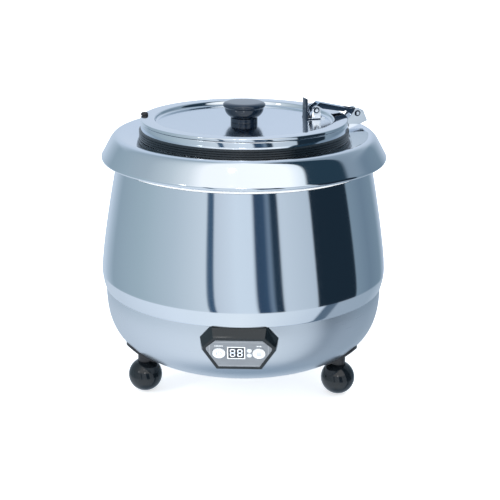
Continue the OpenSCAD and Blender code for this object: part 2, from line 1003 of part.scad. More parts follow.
module control_screws() {
    color(steel)
        face_place()
            for (at = [[-20, 13], [20, 13], [-15, -10], [15, -10]])
                translate([at[0], at[1], board_top - 1.6 - 1.6])
                    cylinder(r = 2, h = 1.6 - near, $fn = 24);
}

// Power electronics on the bowl's floor -------------------------------------------------------

board_z = bowl_floor_z + 8;
board_size = [56, 40];
board_turn = -70;
board_r = base_hole_r + 17;

module on_board() {
    rotate(board_turn)
        translate([board_r, 0, 0])
            children();
}

module power_board() {
    color([0.1, 0.4, 0.2])
        difference() {
            on_board()
                translate([-board_size[1] / 2, -board_size[0] / 2, board_z])
                    cube([board_size[1] - 10, board_size[0], 1.6]);
            on_board()
                post_places()
                    cylinder(r = 1.7, h = seam_z, $fn = 24);
        }
}

module post_places() {
    for (y = [-1, 1])
        for (x = [-board_size[1] / 2 + 4, board_size[1] / 2 - 14])
            translate([x, y * (board_size[0] / 2 - 4), 0])
                children();
}

module board_posts() {
    color(brass)
        on_board()
            post_places()
                disc(2.8, bowl_floor_z + sheet_t + near, board_z - near, 6);
}

module board_screws() {
    color(steel)
        on_board()
            post_places()
                translate([0, 0, board_z + 1.6 + near])
                    cylinder(r = 2.6, h = 1.8, $fn = 32);
}

module relay() {
    color([0.15, 0.3, 0.6])
        on_board()
            translate([-12, -21, board_z + 1.6 + near])
                cube([15, 19, 15]);
}

module transformer() {
    color([0.9, 0.8, 0.2])
        on_board()
            translate([-14, 2, board_z + 1.6 + near])
                cube([19, 17, 16]);
}

module terminal_block() {
    color([0.9, 0.9, 0.85])
        difference() {
            translate([-20, block_y - 4, bowl_floor_z + sheet_t + near])
                cube([40, 8, 14]);
            for (x = [-14, -5, 4, 13])
                translate([x, block_y, 0])
                    cylinder(r = 1.7, h = seam_z, $fn = 24);
        }
}

block_y = base_hole_r + 12;

gland_thread_r = 8;
gland_hex_r = 11.5;
gland_bore_r = 4;
panel_front = face_out + (20.8 + bezel_lip) * sin(face_tilt);

module cable_gland() {
    color(black)
        difference() {
            translate([0, 0, gland_z])
                rotate([-90, 0, 0])
                    difference() {
                        union() {
                            translate([0, 0, barrel_r - 25])
                                cylinder(r = gland_thread_r, h = 20, $fn = 48);
                            translate([0, 0, 150])
                                cylinder(r = gland_hex_r, h = panel_front - 150 - 5, $fn = 6);
                            translate([0, 0, panel_front - 6])
                                cylinder(r = gland_hex_r - 2.5, h = 6, $fn = 48);
                        }
                        cylinder(r = gland_bore_r, h = 400, $fn = 48);
                    }
            difference() {
                bowl_body(near);
                translate([0, 0, gland_z])
                    rotate([-90, 0, 0])
                        cylinder(r = gland_thread_r, h = 400, $fn = 48);
            }
        }
}

module gland_nut() {
    color(black)
        intersection() {
            translate([0, 0, gland_z])
                rotate([-90, 0, 0])
                    translate([0, 0, barrel_r - 21])
                        difference() {
                            cylinder(r = 11.5, h = 40, $fn = 6);
                            translate([0, 0, -1])
                                cylinder(r = gland_thread_r + near, h = 60, $fn = 48);
                        }
            bowl_body(-sheet_t - near);
        }
}

module earth_screw() {
    color(brass)
        rotate(earth_turn)
            translate([earth_r, 0, 0]) {
                disc(1.9, bowl_floor_z - 0.5, bowl_floor_z + 12, 24);
                translate([0, 0, bowl_floor_z + sheet_t + near])
                    cylinder(r = 3.8, h = 2.4, $fn = 6);
                disc(3.4, bowl_floor_z - 1.6, bowl_floor_z - near, 32);
            }
}

// Internal leads ------------------------------------------------------------------------------

// One round tube swept along a list of points, with closed ends.
function ring_of(p, dir, r, n) =
    let (a = unit(cross(dir, abs(dir[2]) > 0.9 ? [1, 0, 0] : [0, 0, 1])), b = cross(dir, a))
    [for (k = [0:n - 1]) p + r * (cos(360 * k / n) * a + sin(360 * k / n) * b)];

module tube(points, r, n = 8) {
    last = len(points) - 1;
    dirs = [for (i = [0:last]) unit(points[min(i + 1, last)] - points[max(i - 1, 0)])];
    rings = [for (i = [0:last]) each ring_of(points[i], dirs[i], r, n)];
    sides = [for (i = [0:last - 1]) for (k = [0:n - 1])
        [i * n + k, i * n + (k + 1) % n, (i + 1) * n + (k + 1) % n, (i + 1) * n + k]];
    polyhedron(points = rings,
               faces = concat([[for (k = [n - 1:-1:0]) k]], sides, [[for (k = [0:n - 1]) last * n + k]]));
}

function polar(r, a, z) = [r * cos(a), r * sin(a), z];
function face_point(x, y, z) =
    [x, -face_out - y * sin(face_tilt) - z * cos(face_tilt), face_z + y * cos(face_tilt) - z * sin(face_tilt)];

element_end_z = heater_top - heater_t - 12 - near;
board_face_z = board_z + 1.6 + near;
lead_fall = [0, 0, 4];

lead_stub = [0, 0, 0.5];

module lead(from, to, r) {
    tube(concat([from], curve([from - lead_stub, from - lead_fall, to + lead_fall, to + lead_stub], 8), [to]), r);
}

module heater_leads() {
    color([0.9, 0.9, 0.9]) {
        lead(polar(46, -75, element_end_z), polar(board_r - 16, -78, board_face_z), 1.2);
        lead(polar(46, 255, element_end_z), polar(board_r - 16, -88, board_face_z), 1.2);
    }
}

module sensor_lead() {
    color([0.2, 0.2, 0.2])
        lead(polar(30, -60, element_end_z), polar(board_r - 16, -68, board_face_z), 0.9);
}

module panel_lead() {
    color([0.7, 0.7, 0.7]) {
        behind = face_point(lead_x, 0, box_back - 9);
        drop = [lead_x, -bath_r - 4.2, bath_floor_z + 6];
        landing = polar(board_r + 7, -78, board_face_z);
        tube(concat(
            curve([face_point(lead_x, 0, board_top - 2), face_point(lead_x, 0, box_back - 3), behind, drop], 8),
            [for (i = [1:6])
                bezier([drop, drop - [0, -2, 12], landing + [-3, -14, 14], landing + lead_stub], i / 6)],
            [landing]), 1.2);
    }
}

module mains_leads() {
    color([0.45, 0.25, 0.15])
        for (x = [4, 13])
            let (start = [x, block_y - 4 - near, bowl_floor_z + 8],
                 landing = polar(board_r - 16, -67 + 1.3 * x, board_face_z))
                tube(concat([start],
                            curve([start - [0, 0.5, 0], [x + 4, 30, bowl_floor_z + 7],
                                   [x + 18, -10, bowl_floor_z + 16], landing + lead_stub], 10),
                            [landing]), 1.1);
}

foot_balls();
foot_saddles();
foot_spacers();
foot_bolts();
bowl_shell();
base_plate();
base_screws();
barrel_shell();
neck_bead();
collar();
water_bath();
heater_plate();
heating_element();
heater_clamp();
heater_stud();
heater_nut();
tie_studs();
tie_nuts();
thermal_cutout();
temperature_sensor();
soup_pot();
ring_skirt();
lid_ring();
ring_bracket();
bracket_rivets();
ring_hinge_pin();
hinge_arm();
lid_hinge_pin();
lid_panel();
lid_bracket();
lid_rivets();
lid_knob();
knob_screw();
lid_bumper();
control_bezel();
control_face();
display_window();
display_module();
display_digits();
status_lamps();
power_button();
set_button();
control_box();
control_board();
tact_switches();
control_screws();
power_board();
relay();
transformer();
terminal_block();
board_posts();
board_screws();
cable_gland();
gland_nut();
earth_screw();
heater_leads();
sensor_lead();
panel_lead();
mains_leads();
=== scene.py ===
import math

import bmesh
import bpy
from mathutils import Matrix, Vector


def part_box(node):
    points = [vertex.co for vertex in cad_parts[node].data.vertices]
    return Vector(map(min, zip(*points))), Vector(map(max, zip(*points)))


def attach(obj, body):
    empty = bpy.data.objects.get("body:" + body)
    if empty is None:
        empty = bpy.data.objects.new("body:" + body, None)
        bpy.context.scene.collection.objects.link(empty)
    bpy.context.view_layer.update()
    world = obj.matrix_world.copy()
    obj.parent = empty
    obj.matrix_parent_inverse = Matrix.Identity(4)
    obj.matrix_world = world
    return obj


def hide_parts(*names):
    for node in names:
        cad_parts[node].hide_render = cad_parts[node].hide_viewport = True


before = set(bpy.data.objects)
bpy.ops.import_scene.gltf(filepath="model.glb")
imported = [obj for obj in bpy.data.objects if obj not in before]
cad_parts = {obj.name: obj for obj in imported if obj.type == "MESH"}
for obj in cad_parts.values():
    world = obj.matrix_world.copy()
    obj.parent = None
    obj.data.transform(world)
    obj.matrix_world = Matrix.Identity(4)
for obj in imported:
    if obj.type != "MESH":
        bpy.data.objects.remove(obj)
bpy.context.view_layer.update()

# Camera. It stands a little under one and a half metres in front, looking down at the kettle,
# as a person does across a counter.
TARGET = Vector((0, 0, 0.1983))
CAMERA_DISTANCE = 1.4
CAMERA_DOWN = math.radians(16.24)
CAMERA_TURN = math.radians(1.5)
CAMERA_ROLL = 0.005
away = Vector((math.sin(CAMERA_TURN) * math.cos(CAMERA_DOWN),
               -math.cos(CAMERA_TURN) * math.cos(CAMERA_DOWN),
               math.sin(CAMERA_DOWN)))
camera_data = bpy.data.cameras.new("camera")
camera_data.sensor_width = 36
camera_data.lens = 83.2
camera_data.shift_x = 0.0128
camera_data.shift_y = -0.0674
camera = bpy.data.objects.new("camera", camera_data)
bpy.context.scene.collection.objects.link(camera)
aim = away.to_track_quat("Z", "Y").to_matrix() @ Matrix.Rotation(CAMERA_ROLL, 3, "Z")
camera.matrix_world = Matrix.Translation(TARGET + CAMERA_DISTANCE * away) @ aim.to_4x4()
bpy.context.scene.camera = camera
bpy.context.scene.view_settings.view_transform = "Standard"


# Studio. A white tent with grey and black cards hung round the kettle, which polished steel
# shows as upright bands. The cards and lamps are seen in reflections only.
def link(name, mesh):
    obj = bpy.data.objects.new(name, mesh)
    bpy.context.scene.collection.objects.link(obj)
    return obj


class Signal:
    """The output of a shader node, which can stand in a sum."""

    def __init__(self, finish, socket):
        self.finish, self.socket = finish, socket

    def maths(self, operation, other, swapped=False):
        first, second = (other, self) if swapped else (self, other)
        return self.finish.node("ShaderNodeMath", {"operation": operation}, {0: first, 1: second})

    def __add__(self, other):
        return self.maths("ADD", other)

    __radd__ = __add__

    def __mul__(self, other):
        return self.maths("MULTIPLY", other)

    __rmul__ = __mul__

    def __sub__(self, other):
        return self.maths("SUBTRACT", other)

    def __rsub__(self, other):
        return self.maths("SUBTRACT", other, True)

    def __truediv__(self, other):
        return self.maths("DIVIDE", other)

    def __pow__(self, other):
        return self.maths("POWER", other)

    def over(self, other):
        return self.maths("GREATER_THAN", other)

    def under(self, other):
        return self.maths("LESS_THAN", other)

    def most(self, other):
        return self.maths("MAXIMUM", other)

    def size(self):
        return self.maths("ABSOLUTE", 0.0)

    def part(self):
        return self.maths("FRACT", 0.0)


class Finish:
    """A material with one Principled surface, and one way to add any other node."""

    def __init__(self, name, **values):
        self.material = bpy.data.materials.new(name)
        self.material.use_nodes = True
        self.tree = self.material.node_tree
        self.surface = self.tree.nodes["Principled BSDF"]
        self.set(**values)

    def put(self, socket, value):
        if isinstance(value, Signal):
            self.tree.links.new(value.socket, socket)
        elif isinstance(value, (tuple, list)) and len(socket.default_value) == 4:
            socket.default_value = (*value[:3], 1)
        else:
            socket.default_value = value

    def node(self, kind, settings=None, inputs=None, output=0):
        made = self.tree.nodes.new(kind)
        for name, value in (settings or {}).items():
            if name == "stops":
                for stop, (place, colour) in zip(made.color_ramp.elements, value):
                    stop.position, stop.color = place, (*colour, 1)
            else:
                setattr(made, name, value)
        for name, value in (inputs or {}).items():
            self.put(made.inputs[name], value)
        return Signal(self, made.outputs[output])

    def set(self, **values):
        for name, value in values.items():
            self.put(self.surface.inputs[name.replace("_", " ")], value)

    def place(self):
        return self.node("ShaderNodeTexCoord", output="Object")

    def parts(self, vector):
        split = self.node("ShaderNodeSeparateXYZ", inputs={0: vector})
        node = split.socket.node
        return [Signal(self, node.outputs[i]) for i in range(3)]

    def vector(self, x, y, z):
        return self.node("ShaderNodeCombineXYZ", inputs={0: x, 1: y, 2: z})

    def noise(self, vector, scale, detail=2.0, rough=0.5):
        return self.node("ShaderNodeTexNoise", inputs={
            "Vector": vector, "Scale": scale, "Detail": detail, "Roughness": rough})

    def blend(self, factor, low, high):
        return self.node("ShaderNodeMix", {"data_type": "RGBA"}, {0: factor, 6: low, 7: high}, 2)

    def bump(self, height, strength, distance):
        self.set(Normal=self.node("ShaderNodeBump", inputs={
            "Height": height, "Strength": strength, "Distance": distance}))


TENT_R = 4.0
PANE_R = 3.9
TENT_Z = 0.2


def on_tent(name, turn, lift, across, up, distance=TENT_R):
    """A patch of the tent between two directions round the kettle and two heights, in degrees."""
    mesh = bpy.data.meshes.new(name)
    built = bmesh.new()
    rows = []
    for i in range(across + 1):
        a = math.radians(turn[0] + (turn[1] - turn[0]) * i / across)
        rows.append([])
        for k in range(up + 1):
            e = math.radians(lift[0] + (lift[1] - lift[0]) * k / up)
            at = Vector((math.sin(a) * math.cos(e), -math.cos(a) * math.cos(e), math.sin(e)))
            rows[i].append(built.verts.new(at * distance))
    for i in range(across):
        for k in range(up):
            built.faces.new((rows[i][k], rows[i + 1][k], rows[i + 1][k + 1], rows[i][k + 1]))
    built.to_mesh(mesh)
    built.free()
    mesh.shade_smooth()
    obj = link(name, mesh)
    obj.location.z = TENT_Z
    obj.visible_camera = False
    obj.visible_diffuse = False
    obj.visible_shadow = False
    obj.visible_transmission = False
    return obj


def round_stops(finish, turn, stops):
    """A colour that changes with the direction round the kettle, given in degrees."""
    ramp = finish.tree.nodes.new("ShaderNodeValToRGB")
    elements = ramp.color_ramp.elements
    while len(elements) < len(stops):
        elements.new(0.5)
    for element, (degrees, colour) in zip(elements, stops):
        element.position = (degrees + 180) / 360
        element.color = (*colour, 1)
    finish.put(ramp.inputs["Fac"], turn)
    return Signal(finish, ramp.outputs["Color"])


HAZE = (0.62, 0.71, 0.84)
NAVY = (0.012, 0.024, 0.038)
WHITE = (1.10, 1.12, 1.14)
tent = Finish("tent_cloth", Base_Color=(0, 0, 0), Specular_IOR_Level=0.0, Emission_Strength=1.0)
tent_x, tent_y, tent_z = tent.parts(tent.place())
tent_turn = tent.node("ShaderNodeMath", {"operation": "ARCTAN2"}, {0: tent_x, 1: -1 * tent_y})
tent_lift = (tent.node("ShaderNodeMath", {"operation": "ARCSINE"}, {0: tent_z / TENT_R})
             * (180 / math.pi))
tent_place = tent_turn / (2 * math.pi) + 0.5
level = round_stops(tent, tent_place + tent_lift * 0.0005, [
    (-180, HAZE), (-150, (0.55, 0.65, 0.76)), (-126, (0.30, 0.39, 0.46)),
    (-86, (0.38, 0.48, 0.54)), (-56, (0.49, 0.58, 0.65)), (-28, (0.64, 0.72, 0.79)),
    (-26.5, (0.05, 0.10, 0.17)),
    (-22.5, (0.05, 0.10, 0.17)), (-21.5, (0.58, 0.65, 0.73)), (-4, (0.69, 0.78, 0.87)),
    (9.5, (0.68, 0.77, 0.86)), (10.5, (0.03, 0.06, 0.11)), (19, (0.04, 0.08, 0.14)),
    (20.5, (0.15, 0.21, 0.29)), (23.5, (0.17, 0.24, 0.32)), (24.2, (0.018, 0.038, 0.065)),
    (30, (0.018, 0.038, 0.065)), (31, (0.60, 0.68, 0.76)), (58, (0.50, 0.58, 0.66)), (59, NAVY),
    (97, NAVY), (98.5, (0.22, 0.30, 0.37)), (118, (0.17, 0.24, 0.31)), (140, (0.20, 0.28, 0.35)),
    (156, (0.48, 0.57, 0.68)), (180, HAZE)])
upper = round_stops(tent, tent_place, [
    (-180, HAZE), (-150, (0.56, 0.66, 0.78)), (-118, (0.33, 0.42, 0.49)), (-86, (0.40, 0.48, 0.54)),
    (-64, (0.57, 0.65, 0.70)), (-48, (0.78, 0.84, 0.88)), (-36, (1.08, 1.10, 1.12)),
    (42, (1.14, 1.16, 1.18)), (55, (0.86, 0.94, 0.99)), (57.5, (0.02, 0.045, 0.07)),
    (92, (0.02, 0.045, 0.07)),
    (96, (0.24, 0.31, 0.38)), (128, (0.30, 0.38, 0.46)), (156, (0.55, 0.64, 0.74)), (180, HAZE)])
lower = round_stops(tent, tent_place, [
    (-180, (0.55, 0.64, 0.74)), (-120, (0.62, 0.70, 0.79)), (-60, (0.76, 0.84, 0.93)),
    (0, (0.84, 0.91, 0.97)), (44, (0.68, 0.76, 0.84)), (68, (0.58, 0.66, 0.75)),
    (70, (0.10, 0.15, 0.21)), (80, (0.12, 0.17, 0.23)), (83, (0.36, 0.43, 0.51)),
    (130, (0.34, 0.42, 0.50)), (180, (0.55, 0.64, 0.74))])
crown = round_stops(tent, tent_place, [
    (-180, (0.95, 1.0, 1.06)), (-140, (0.80, 0.88, 0.96)), (-90, (0.58, 0.67, 0.76)),
    (-50, (0.74, 0.82, 0.90)), (-25, WHITE), (30, WHITE), (70, (0.58, 0.67, 0.76)),
    (110, (0.56, 0.65, 0.74)), (150, (0.80, 0.88, 0.96)), (180, (0.95, 1.0, 1.06))])


def tent_step(low, high):
    """Rises from 0 to 1 between two heights on the tent, in degrees."""
    return tent.node("ShaderNodeMapRange", {"interpolation_type": "SMOOTHSTEP"},
                     {0: tent_lift, 1: low, 2: high})


tent_colour = tent.blend(tent_step(-22, -19.5), lower, level)
tent_colour = tent.blend(tent_step(15, 24), tent_colour, upper)
tent_colour = tent.blend(tent_step(74, 86), tent_colour, crown)
tent_colour = tent.blend(tent_step(-52, -84), tent_colour, (0.30, 0.39, 0.49))
tent.set(Emission_Color=tent_colour)
dome = on_tent("tent_dome", (-180, 180), (-89.5, 89.5), 144, 72)
dome.data.materials.append(tent.material)
window_glow = Finish("window_glow", Base_Color=(0, 0, 0), Specular_IOR_Level=0.0,
                     Emission_Color=(1, 1, 1), Emission_Strength=5)
PANES = (((-50, -45), (20, 27)), ((-4, 3), (20, 27)), ((-12, -8), (44, 49)))
for number, (turn, lift) in enumerate(PANES):
    pane = on_tent("window_%d" % number, turn, lift, 4, 4, PANE_R)
    pane.data.materials.append(window_glow.material)

world = bpy.data.worlds.new("tent")
world.use_nodes = True
sky = world.node_tree.nodes["Background"].inputs
sky["Color"].default_value = (0.93, 0.965, 1.0, 1)
sky["Strength"].default_value = 1.0
bpy.context.scene.world = world


def soft_lamp(name, at, size, power, colour=(1, 1, 1)):
    """A large lamp aimed at the kettle, which reflections don't show."""
    data = bpy.data.lights.new(name, "AREA")
    data.shape = "RECTANGLE"
    data.size, data.size_y = size
    data.energy = power
    data.color = colour
    obj = bpy.data.objects.new(name, data)
    bpy.context.scene.collection.objects.link(obj)
    obj.location = at
    obj.rotation_euler = (Vector(at) - TARGET).to_track_quat("Z", "Y").to_euler()
    obj.visible_camera = False
    obj.visible_glossy = False


soft_lamp("lamp_over", (-0.3, -0.5, 2.4), (1.6, 1.2), 26)
soft_lamp("lamp_left", (-2.2, -1.4, 1.3), (0.5, 1.4), 22, (0.93, 0.97, 1.0))
soft_lamp("lamp_back", (1.4, 1.9, 1.6), (0.9, 0.9), 16)

floor_mesh = bpy.data.meshes.new("floor")
floor_built = bmesh.new()
bmesh.ops.create_circle(floor_built, cap_ends=True, segments=96, radius=14)
floor_built.to_mesh(floor_mesh)
floor_built.free()
floor = link("floor", floor_mesh)
floor.location.z = -0.0005
floor_finish = Finish("floor_paint", Base_Color=(0.9, 0.92, 0.94), Roughness=0.8)
floor_finish.set(Emission_Color=(1, 1, 1), Emission_Strength=0.62)
floor_mesh.materials.append(floor_finish.material)
floor.visible_glossy = False


# Bottom bowl. A bright stainless pressing, spun and brushed round, with a turned-in floor.
# The base plate is screwed under its open middle.
MM = 0.001
TURNS = 192


def bezier(points, steps):
    """Points along a cubic curve, both ends included."""
    a, b, c, d = (Vector(p) for p in points)
    out = []
    for i in range(steps + 1):
        t = i / steps
        u = 1 - t
        out.append(u ** 3 * a + 3 * u ** 2 * t * b + 3 * u * t * t * c + t ** 3 * d)
    return out


def rounded(corners, steps=5):
    """An open outline whose corners, each (radius, height, fillet), are turned into arcs."""
    out = []
    for i, (r, z, fillet) in enumerate(corners):
        here = Vector((r, z))
        if fillet == 0 or i in (0, len(corners) - 1):
            out.append(here)
            continue
        before = Vector(corners[i - 1][:2]) - here
        after = Vector(corners[i + 1][:2]) - here
        cut = min(fillet, 0.49 * before.length, 0.49 * after.length)
        start, end = here + before.normalized() * cut, here + after.normalized() * cut
        for k in range(steps + 1):
            t = k / steps
            out.append((1 - t) ** 2 * start + 2 * (1 - t) * t * here + t * t * end)
    return out


def beside(points, distance):
    """The same outline, moved sideways to its left by a distance."""
    out = []
    for i, p in enumerate(points):
        a = points[max(i - 1, 0)]
        b = points[min(i + 1, len(points) - 1)]
        along = (b - a).normalized()
        out.append(p + distance * Vector((-along.y, along.x)))
    return out


def finish_mesh(built, name, material, crease=32):
    """A smooth-shaded object from a built mesh, sharp where faces meet above the crease angle."""
    bmesh.ops.remove_doubles(built, verts=built.verts, dist=1e-6)
    bmesh.ops.dissolve_degenerate(built, edges=built.edges, dist=1e-7)
    bmesh.ops.recalc_face_normals(built, faces=built.faces)
    mesh = bpy.data.meshes.new(name)
    built.to_mesh(mesh)
    built.free()
    mesh.shade_smooth()
    mesh.set_sharp_from_angle(angle=math.radians(crease))
    mesh.materials.append(material)
    return link(name, mesh)


def spun(name, outline, material, turns=TURNS, crease=32):
    """A closed ring of the outline, in millimetres of radius and height, turned about the axis."""
    built = bmesh.new()
    rings = []
    for i in range(turns):
        a = 2 * math.pi * i / turns
        rings.append([built.verts.new((p[0] * MM * math.cos(a), p[0] * MM * math.sin(a), p[1] * MM))
                      for p in outline])
    for i in range(turns):
        here, there = rings[i], rings[(i + 1) % turns]
        for k in range(len(outline)):
            n = (k + 1) % len(outline)
            if outline[k][0] < 1e-6 and outline[n][0] < 1e-6:
                continue
            built.faces.new((here[k], there[k], there[n], here[n]))
    return finish_mesh(built, name, material, crease)


def sheet_wall(outline, thickness):
    """A closed outline of sheet metal: the given side and a parallel one."""
    return list(outline) + list(reversed(beside(outline, thickness)))


def brushed_steel(name, colour, rough, along="height", depth=0.12):
    """Stainless with fine lines that run round the axis."""
    made = Finish(name, Metallic=1.0, Anisotropic=0.45)
    x, y, z = made.parts(made.place())
    radius = (x * x + y * y) ** 0.5
    across = z if along == "height" else radius
    turn = made.node("ShaderNodeMath", {"operation": "ARCTAN2"}, {0: y, 1: x})
    lines = made.noise(made.vector(across * 1900, turn * 2.2, 0.0), 1.0, 3.0, 0.6)
    cloud = made.noise(made.place(), 9.0, 2.0)
    grain = made.noise(made.vector(across * 6000, turn * 9.0, 3.0), 1.0, 1.0)
    tone = made.blend(lines * 0.55 + cloud * 0.45, [c * 0.90 for c in colour], colour)
    made.set(Base_Color=tone, Roughness=rough - 0.05 + 0.09 * lines + 0.05 * cloud)
    made.bump(lines * 0.7 + grain * 0.3, depth, 0.00006)
    return made.material


barrel_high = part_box("barrel_shell")[1]
bowl_low, bowl_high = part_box("bowl_shell")
CASE_R = barrel_high.x / MM
SEAM_Z = bowl_high.z / MM
BOWL_FLOOR_Z = bowl_low.z / MM
BOWL_FLOOR_R = CASE_R - 82.5
FLOOR_LIP = 33
BOWL_SHEET = 1.0
bowl_side = bezier([(CASE_R - 4.2, SEAM_Z), (CASE_R - 4.6, SEAM_Z - 29.2),
                    (CASE_R - 3.2, BOWL_FLOOR_Z + 2.4), (BOWL_FLOOR_R, BOWL_FLOOR_Z)], 64)
bowl_steel = brushed_steel("bowl_steel", (0.80, 0.85, 0.91), 0.27)
bowl_side.append(Vector((BOWL_FLOOR_R - FLOOR_LIP, BOWL_FLOOR_Z)))
bowl = spun("bowl_casing", sheet_wall(bowl_side, -BOWL_SHEET), bowl_steel)
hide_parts("bowl_shell")
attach(bowl, "kettle")


def dress(material, *nodes):
    """Gives CAD nodes a finish in place."""
    for name in nodes:
        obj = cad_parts[name]
        obj.data.materials.clear()
        obj.data.materials.append(material)


def eased(name, node, material, body, width=0.35, segments=3, crease=30):
    """A piece with the CAD node's own shape, its edges eased as a press or tumbler leaves them."""
    built = bmesh.new()
    built.from_mesh(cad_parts[node].data)
    bmesh.ops.remove_doubles(built, verts=built.verts, dist=2e-6)
    bmesh.ops.dissolve_limit(built, angle_limit=math.radians(1.0), verts=built.verts,
                             edges=built.edges)
    mesh = bpy.data.meshes.new(name)
    built.to_mesh(mesh)
    built.free()
    obj = link(name, mesh)
    bevel = obj.modifiers.new("ease", "BEVEL")
    bevel.width = width * MM
    bevel.segments = segments
    bevel.limit_method = "ANGLE"
    bevel.angle_limit = math.radians(crease)
    bevel.harden_normals = False
    depsgraph = bpy.context.evaluated_depsgraph_get()
    solid = bpy.data.meshes.new_from_object(obj.evaluated_get(depsgraph))
    obj.modifiers.clear()
    obj.data = solid
    solid.name = name
    solid.shade_smooth()
    solid.set_sharp_from_angle(angle=math.radians(40))
    solid.materials.clear()
    solid.materials.append(material)
    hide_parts(node)
    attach(obj, body)
    return obj


def plain_metal(name, colour, rough):
    """Cut or cast metal with a faint cloud and fine pits."""
    made = Finish(name, Metallic=1.0)
    cloud = made.noise(made.place(), 60.0, 3.0)
    pits = made.noise(made.place(), 1400.0, 2.0)
    made.set(Base_Color=made.blend(cloud, [c * 0.82 for c in colour], colour),
             Roughness=rough - 0.06 + 0.14 * cloud)
    made.bump(pits, 0.15, 0.00005)
    return made.material


screw_steel = plain_metal("screw_steel", (0.66, 0.69, 0.73), 0.3)
plate_steel = plain_metal("plate_steel", (0.72, 0.76, 0.80), 0.34)
eased("base_cover", "base_plate", plate_steel, "kettle", 0.25)
eased("base_cover_screws", "base_screws", screw_steel, "kettle", 0.3)


# Ball feet. Glossy black phenolic balls on short necks, under saddles that fit the bowl.
# One ball is turned, and the same ball stands under each saddle.
def arc(centre, radius, start, end, steps):
    """Points along an arc between two directions in degrees, both ends included."""
    return [Vector((centre[0] + radius * math.cos(math.radians(start + (end - start) * i / steps)),
                    centre[1] + radius * math.sin(math.radians(start + (end - start) * i / steps))))
            for i in range(steps + 1)]


def moulded(name, colour, rough, grain=0.1, coat=0.0):
    """Moulded plastic: slight flow clouds, fine orange peel and dust-fine marks."""
    made = Finish(name, Specular_IOR_Level=0.5, Coat_Weight=coat, Coat_Roughness=0.04)
    cloud = made.noise(made.place(), 26.0, 3.0)
    peel = made.noise(made.place(), 900.0, 2.0)
    dull, bright = [c * 0.7 for c in colour], [min(1.0, c * 1.35) for c in colour]
    made.set(Base_Color=made.blend(cloud, dull, bright), Roughness=rough - 0.03 + 0.07 * cloud)
    made.bump(peel, grain, 0.00008)
    return made.material


def stand_round(name, piece, count, ring_radius, first, material):
    """Copies of a turned piece stood round the axis, joined into one mesh."""
    tree = bpy.data.node_groups.new(name + "_ring", "GeometryNodeTree")
    face = tree.interface
    face.new_socket("Geometry", in_out="INPUT", socket_type="NodeSocketGeometry")
    for label, kind, value in (("Count", "NodeSocketInt", count),
                               ("Ring radius", "NodeSocketFloat", ring_radius * MM),
                               ("First turn", "NodeSocketFloat", math.radians(first))):
        face.new_socket(label, in_out="INPUT", socket_type=kind).default_value = value
    face.new_socket("Material", in_out="INPUT", socket_type="NodeSocketMaterial")
    face.new_socket("Geometry", in_out="OUTPUT", socket_type="NodeSocketGeometry")

    def add(kind, links=(), **settings):
        """Adds a node to the group, with its settings, then its links and values."""
        node = tree.nodes.new(kind)
        for key, value in settings.items():
            setattr(node, key, value)
        for key, source in links:
            if isinstance(source, bpy.types.NodeSocket):
                tree.links.new(source, node.inputs[key])
            else:
                node.inputs[key].default_value = source
        return node

    inputs = add("NodeGroupInput")
    spots = add("GeometryNodePoints", [("Count", inputs.outputs["Count"])])
    index = add("GeometryNodeInputIndex")
    step = add("ShaderNodeMath", [(0, 2 * math.pi), (1, inputs.outputs["Count"])],
               operation="DIVIDE")
    turn = add("ShaderNodeMath", [(0, index.outputs[0]), (1, step.outputs[0]),
                                  (2, inputs.outputs["First turn"])], operation="MULTIPLY_ADD")
    cosine = add("ShaderNodeMath", [(0, turn.outputs[0])], operation="COSINE")
    sine = add("ShaderNodeMath", [(0, turn.outputs[0])], operation="SINE")
    outward = add("ShaderNodeCombineXYZ", [(0, cosine.outputs[0]), (1, sine.outputs[0])])
    place = add("ShaderNodeVectorMath",
                [(0, outward.outputs[0]), (3, inputs.outputs["Ring radius"])], operation="SCALE")
    spread = add("GeometryNodeSetPosition",
                 [("Geometry", spots.outputs[0]), ("Position", place.outputs[0])])
    turned = add("ShaderNodeCombineXYZ", [(2, turn.outputs[0])])
    copies = add("GeometryNodeInstanceOnPoints", [("Points", spread.outputs[0]),
                                                  ("Instance", inputs.outputs["Geometry"]),
                                                  ("Rotation", turned.outputs[0])])
    real = add("GeometryNodeRealizeInstances", [("Geometry", copies.outputs[0])])
    coloured = add("GeometryNodeSetMaterial", [("Geometry", real.outputs[0]),
                                               ("Material", inputs.outputs["Material"])])
    add("NodeGroupOutput", [("Geometry", coloured.outputs[0])])
    modifier = piece.modifiers.new("ring", "NODES")
    modifier.node_group = tree
    for item in face.items_tree:
        if item.item_type == "SOCKET" and item.in_out == "INPUT" and item.name == "Material":
            modifier[item.identifier] = material
    depsgraph = bpy.context.evaluated_depsgraph_get()
    mesh = bpy.data.meshes.new_from_object(piece.evaluated_get(depsgraph))
    piece.modifiers.clear()
    mesh.name = name
    bpy.data.objects.remove(piece)
    return link(name, mesh)


BALL_R = 20.0
BALL_Z = 19.4
BALL_NECK_R = 8.5
BALL_NECK_Z = BALL_Z + 17.0
FOOT_RING_R = 133.0
FIRST_FOOT = -150
phenolic = moulded("phenolic", (0.006, 0.009, 0.012), 0.07, 0.02, 0.25)
ball_flat = math.degrees(math.asin(BALL_Z / BALL_R))
ball_outline = ([Vector((0, 0))] + arc((0, BALL_Z), BALL_R, -ball_flat, 64, 48)
                + [Vector((BALL_NECK_R + 0.1, BALL_NECK_Z + 0.9)),
                   Vector((BALL_NECK_R, BALL_NECK_Z)), Vector((0, BALL_NECK_Z))])
one_ball = spun("one_ball", ball_outline, phenolic, 64)
balls = stand_round("ball_feet", one_ball, 3, FOOT_RING_R, FIRST_FOOT, phenolic)
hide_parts("foot_balls")
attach(balls, "kettle")
saddle_black = moulded("saddle_black", (0.014, 0.014, 0.017), 0.3, 0.2)
eased("foot_seats", "foot_saddles", saddle_black, "kettle", 0.3)
dress(screw_steel, "foot_bolts", "foot_spacers")


